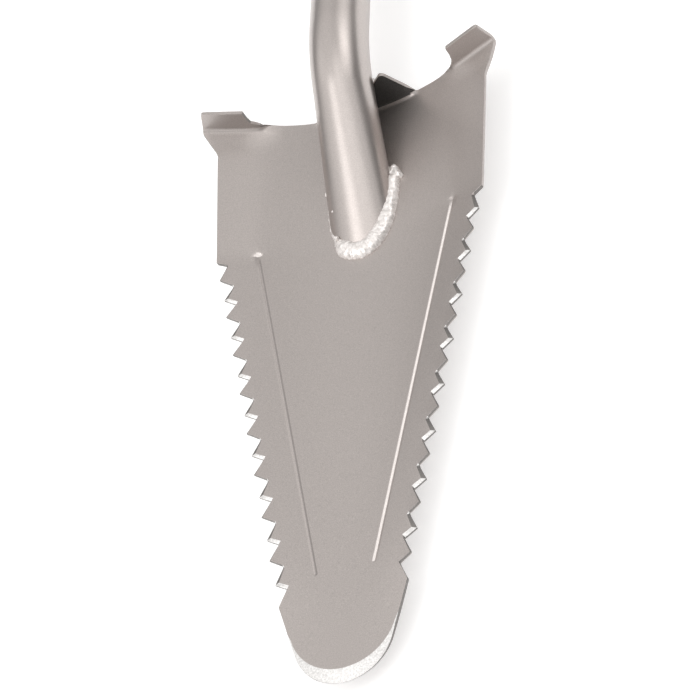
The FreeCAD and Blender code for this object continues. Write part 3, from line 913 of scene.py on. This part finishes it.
def build_shaft():
    lines = [shaft_line(2 * math.pi * i / TUBE_SIDES) for i in range(TUBE_SIDES)]
    verts, faces = swept(lines)
    shaft = new_piece("bent_shaft_tube", verts, faces, "shaft_tube", TUBE_PAINT)


def swept(lines):
    """Closed skin through lines of equal length that run side by side round a shape."""
    count = len(lines[0])
    verts = [point for line in lines for point in line]
    faces = []
    for i in range(len(lines)):
        here, beside = i * count, (i + 1) % len(lines) * count
        for k in range(count - 1):
            faces.append((here + k, beside + k, beside + k + 1, here + k + 1))
    faces.append(tuple(i * count for i in range(len(lines))))
    faces.append(tuple(i * count + count - 1 for i in reversed(range(len(lines)))))
    return verts, faces


# ---- welds ----
BEAD_SIDES = 28
BEAD_SINK = 0.7                # a bead ends this far below the blade's face
RIPPLE_PITCH = 1.35
RIPPLE_SAG = 0.9               # the ripples curve along the run towards the bead's sides
RIPPLE_CREST = 0.8             # 1 is a plain zigzag, less has blunter crests
RIPPLE_SHARE = 0.35            # of the roughness
LUMP_SHARE = 1.2
LUMPS = ((0.45, 1.0), (1.3, 0.5), (2.9, 0.35))  # waves per millimetre and weight
END_POINTS = 6                 # a bead grows to its full height over so many points of its path
END_FULLNESS = 0.15
BLOB_SIDES = 20
BLOB_RINGS = 14
BLOB_POLE = 0.02               # keeps the end rings open
BLOB_LUMPS = 1.6


def lumpiness(spot):
    return sum(weight * noise.noise(spot * waves) for waves, weight in LUMPS)


def rippled_bead(path, outward, radius, roughness, flatness=1.0, fades=None):
    """Lines of points along a weld bead: an oval swept along the path, with frozen ripples."""
    rows = []
    run = 0.0
    for i, point in enumerate(path):
        before = path[max(i - 1, 0)]
        after = path[min(i + 1, len(path) - 1)]
        along = (after - before).normalized()
        out = outward[i]
        side = along.cross(out).normalized()
        run += (point - before).length
        from_end = min(i, len(path) - 1 - i) / END_POINTS
        full = math.sqrt(min(1.0, END_FULLNESS + from_end)) * (fades[i] if fades else 1.0)
        row = []
        for k in range(BEAD_SIDES):
            angle = 2 * math.pi * k / BEAD_SIDES
            phase = (run + RIPPLE_SAG * math.sin(angle) ** 2) / RIPPLE_PITCH
            ridge = abs(2 * (phase - math.floor(phase)) - 1) ** RIPPLE_CREST
            direction = out * math.cos(angle) * flatness + side * math.sin(angle)
            lump = lumpiness(point + direction * radius)
            uneven = RIPPLE_SHARE * (ridge - 0.5) + LUMP_SHARE * lump
            row.append(point + direction * (radius * full + roughness * uneven))
        rows.append(row)
    return [list(line) for line in zip(*rows)]


def kept_in_sheet(lines):
    """Stop a bead just below the blade's face, so that it never shows on the back."""
    for line in lines:
        for point in line:
            point.z = max(point.z, sheet_height(point.x, point.y) - BEAD_SINK)
    return lines


def blob(centre, radius, roughness, seed):
    """Small frozen drop of weld metal, as lines of points for a swept skin."""
    lines = []
    for i in range(BLOB_SIDES):
        turn = 2 * math.pi * i / BLOB_SIDES
        line = []
        for k in range(BLOB_RINGS + 1):
            tilt = math.pi * (k + BLOB_POLE) / (BLOB_RINGS + 2 * BLOB_POLE)
            ray = Vector((
                math.sin(tilt) * math.cos(turn),
                math.sin(tilt) * math.sin(turn),
                math.cos(tilt),
            ))
            lump = noise.noise(ray * BLOB_LUMPS + Vector((seed, 0, 0)))
            line.append(Vector(centre) + ray * radius * (1 + roughness * lump))
        lines.append(line)
    return lines


def joined(shapes):
    """One list of points and faces from several swept skins."""
    verts, faces = [], []
    for lines in shapes:
        more_verts, more_faces = swept(lines)
        faces += [tuple(i + len(verts) for i in face) for face in more_faces]
        verts += more_verts
    return verts, faces


SOCKET_BEAD_HALF = 15.0
SOCKET_BEAD_LENGTH = 37.0
SOCKET_BEAD_FULLNESS = 0.88    # 1 is a plain ellipse, less is fuller at its shoulders
SOCKET_BEAD_END_Y = 33.0
SOCKET_BEAD_Z = -8.1
SOCKET_BEAD_START = 5          # degrees; it runs round the toe from here to the far side
SOCKET_BEAD_STEP = 0.9
SOCKET_BEAD_RADIUS = 4.9
SOCKET_BEAD_ROUGHNESS = 0.42
SOCKET_BEAD_FLATNESS = 0.92
SOCKET_BEAD_THINNING = (112, 140)  # degrees between which it thins out
SOCKET_BEAD_THINNED = 0.5
# the knob where the weld ended: centre, radius, roughness and seed of each drop
KNOB = (
    ((17.6, 35.4, -5.6), 3.1, 0.5, 3.0),
    ((19.6, 33.6, -6.4), 1.9, 0.4, 7.0),
)
# centre and radius of each drop of spatter
SPATTER = (
    ((-10.9, 4.7, -4.6), 1.1),
    ((-9.4, 1.2, -5.6), 0.9),
    ((-11.4, 18.0, -0.9), 0.6),
    ((-17.4, 34.4, -6.2), 1.1),
)
SPATTER_ROUGHNESS = 0.3
SPATTER_SEED = 20.0


def socket_bead():
    """The bead round the toe of the tube, on an oval path."""
    centre = Vector((0, SOCKET_BEAD_END_Y, SOCKET_BEAD_Z))
    path, outward, fades = [], [], []
    for turn in stepped(math.radians(SOCKET_BEAD_START), -math.pi, math.radians(SOCKET_BEAD_STEP)):
        across = math.copysign(abs(math.cos(turn)) ** SOCKET_BEAD_FULLNESS, math.cos(turn))
        down = math.copysign(abs(math.sin(turn)) ** SOCKET_BEAD_FULLNESS, math.sin(turn))
        point = Vector((SOCKET_BEAD_HALF * across, SOCKET_BEAD_LENGTH * down, 0))
        path.append(centre + point)
        outward.append(Vector((0, 0, 1)))
        thinning = smooth_step(-math.degrees(turn), *SOCKET_BEAD_THINNING)
        fades.append(1 - SOCKET_BEAD_THINNED * thinning)
    size = (SOCKET_BEAD_RADIUS, SOCKET_BEAD_ROUGHNESS, SOCKET_BEAD_FLATNESS)
    return rippled_bead(path, outward, *size, fades)


def build_socket_weld():
    shapes = [socket_bead()]
    for drop in KNOB:
        shapes.append(blob(*drop))
    for number, (centre, radius) in enumerate(SPATTER):
        shapes.append(blob(centre, radius, SPATTER_ROUGHNESS, number + SPATTER_SEED))
    shapes = [kept_in_sheet(lines) for lines in shapes]
    weld = new_piece("socket_weld", *joined(shapes), "socket_weld_bead", WELD_PAINTED_HIGHLIGHT)


SMALL_BEAD_ROUGHNESS = 0.3
SADDLE_BEAD_RADIUS = 2.5
SADDLE_BEAD_TURNS = (-148, -32)  # degrees round the tube, along its underside
SADDLE_BEAD_STEP = 1.2
SADDLE_BEAD_PLACE = 0.995      # share of the tube's lower end whose section the bead follows
SADDLE_BEAD_OFFSET = 0.4       # out from the tube
SADDLE_BEAD_BEHIND = 1.2       # behind the tab


def build_saddle_weld():
    """Bead behind the saddle tab, along the shaft's underside."""
    path, outward = [], []
    start, end = map(math.radians, SADDLE_BEAD_TURNS)
    for turn in stepped(start, end, math.radians(SADDLE_BEAD_STEP)):
        point = lower_point(SADDLE_BEAD_PLACE, turn, SADDLE_BEAD_OFFSET)
        point.y = FOLD_Y + FOLD_INNER + SHEET + SADDLE_BEAD_BEHIND
        path.append(point)
        outward.append(Vector((math.cos(turn), 0, math.sin(turn))))
    lines = rippled_bead(path, outward, SADDLE_BEAD_RADIUS, SMALL_BEAD_ROUGHNESS)
    weld = new_piece("saddle_weld", *joined([lines]), "saddle_weld_bead", WELD_PAINTED_HIGHLIGHT)


HANDLE_BEAD_RADIUS = 2.6
HANDLE_BEAD_STEP = 1.5         # degrees
HANDLE_BEAD_OFF_CROSS = 0.9    # out from the cross tube
HANDLE_BEAD_OFF_SHAFT = 0.3    # out from the shaft


def build_handle_weld():
    """Ring of weld round the joint of the shaft and the cross tube."""
    up = ACROSS.cross(UPPER_DIRECTION)
    path, outward = [], []
    for turn in stepped(0, 2 * math.pi, math.radians(HANDLE_BEAD_STEP)):
        out = ACROSS * math.cos(turn) + up * math.sin(turn)
        beside = TUBE_RADIUS * math.sin(turn)
        reach = math.sqrt((TUBE_RADIUS + HANDLE_BEAD_OFF_CROSS) ** 2 - beside ** 2)
        from_axis = TUBE_RADIUS + HANDLE_BEAD_OFF_SHAFT
        path.append(HANDLE - UPPER_DIRECTION * reach + out * from_axis)
        outward.append((out - UPPER_DIRECTION).normalized())
    lines = rippled_bead(path, outward, HANDLE_BEAD_RADIUS, SMALL_BEAD_ROUGHNESS)
    weld = new_piece("handle_weld", *joined([lines]), "handle_weld_bead", WELD_PAINTED_HIGHLIGHT)


build_shaft()
build_socket_weld()
build_saddle_weld()
build_handle_weld()


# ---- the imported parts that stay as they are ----
REPLACED = ("blade", "shaft_tube", "socket_weld_bead", "saddle_weld_bead", "handle_weld_bead")


def dress(obj, material):
    obj.data.materials.clear()
    obj.data.materials.append(material)


def part_material(name):
    if "grip" in name:
        return RUBBER
    if "plug" in name:
        return PLASTIC
    return TUBE_PAINT


for name, part in parts.items():
    if name not in REPLACED:
        dress(part, part_material(name))
        join_facets(part)
        soften_edges(part, PART_EDGE_ROUNDING, PART_SHARP_ANGLE)


# ---- studio ----
CAMERA_PLACE = Vector((378.4, -688.5, 746.9))
CAMERA_RIGHT = Vector((0.8987, 0.0209, -0.4381))
CAMERA_UP = Vector((0.2466, 0.8021, 0.5439))
CAMERA_LENS = 122.3
CAMERA_SENSOR = 36
CAMERA_NEAREST = 0.05          # in metres, as are the floor's sizes
FLOOR_SIZE = 8
FLOOR_DROP = 0.0005


def add_floor():
    """A wide floor just below the shovel."""
    bpy.ops.mesh.primitive_plane_add(size=FLOOR_SIZE, location=(0, 0, -FLOOR_DROP))
    floor = bpy.context.object
    floor.name = "floor"
    dress(floor, floor_paper())


# of each light: its direction, the half angles where it is full and where it ends, its strength
SOFT_LIGHTS = (
    ((-0.34, -0.25, 0.90), 9, 19, 2.2),
    ((-0.40, -0.55, 0.73), 6, 25, 2.2),
    ((-0.45, -0.75, 0.50), 5, 30, 1.5),
    ((0.25, -0.07, 0.96), 5, 28, 1.3),
    ((0.53, 0.61, 0.59), 6, 27, 1.15),
    ((0.62, 0.33, 0.71), 6, 22, 1.3),
    ((-0.35, 0.45, 0.80), 5, 48, 0.75),
    ((-0.85, 0.10, 0.50), 5, 30, 0.5),
    ((0.30, -0.90, 0.30), 5, 40, 0.7),
)
AMBIENT = 0.22
LIGHT_COLOUR = (1, 0.99, 0.98, 1)


def add_world():
    """Light tent: an even glow with the soft lights in it."""
    world = bpy.data.worlds.new("light_tent")
    world.use_nodes = True
    nodes = world.node_tree.nodes
    links = world.node_tree.links
    place = nodes.new("ShaderNodeTexCoord")
    total = nodes.new("ShaderNodeValue")
    total.outputs[0].default_value = AMBIENT
    glow = total.outputs[0]
    for direction, full, end, strength in SOFT_LIGHTS:
        facing = nodes.new("ShaderNodeVectorMath")
        facing.operation = "DOT_PRODUCT"
        facing.inputs[1].default_value = Vector(direction).normalized()
        links.new(place.outputs["Generated"], facing.inputs[0])
        falloff = nodes.new("ShaderNodeMapRange")
        falloff.interpolation_type = "SMOOTHSTEP"
        falloff.inputs["From Min"].default_value = math.cos(math.radians(end))
        falloff.inputs["From Max"].default_value = math.cos(math.radians(full))
        falloff.inputs["To Max"].default_value = strength
        links.new(facing.outputs["Value"], falloff.inputs["Value"])
        add = nodes.new("ShaderNodeMath")
        links.new(glow, add.inputs[0])
        links.new(falloff.outputs["Result"], add.inputs[1])
        glow = add.outputs[0]
    background = nodes["Background"]
    background.inputs["Color"].default_value = LIGHT_COLOUR
    links.new(glow, background.inputs["Strength"])
    bpy.context.scene.world = world


def add_camera():
    data = bpy.data.cameras.new("camera")
    data.lens = CAMERA_LENS
    data.sensor_width = CAMERA_SENSOR
    data.clip_start = CAMERA_NEAREST
    camera = bpy.data.objects.new("camera", data)
    bpy.context.collection.objects.link(camera)
    back = CAMERA_RIGHT.cross(CAMERA_UP)
    turn = Matrix((CAMERA_RIGHT, CAMERA_UP, back)).transposed()
    camera.matrix_world = Matrix.Translation(placed(CAMERA_PLACE)) @ turn.to_4x4()
    bpy.context.scene.camera = camera


add_floor()
add_world()
add_camera()
bpy.context.scene.view_settings.view_transform = "Standard"
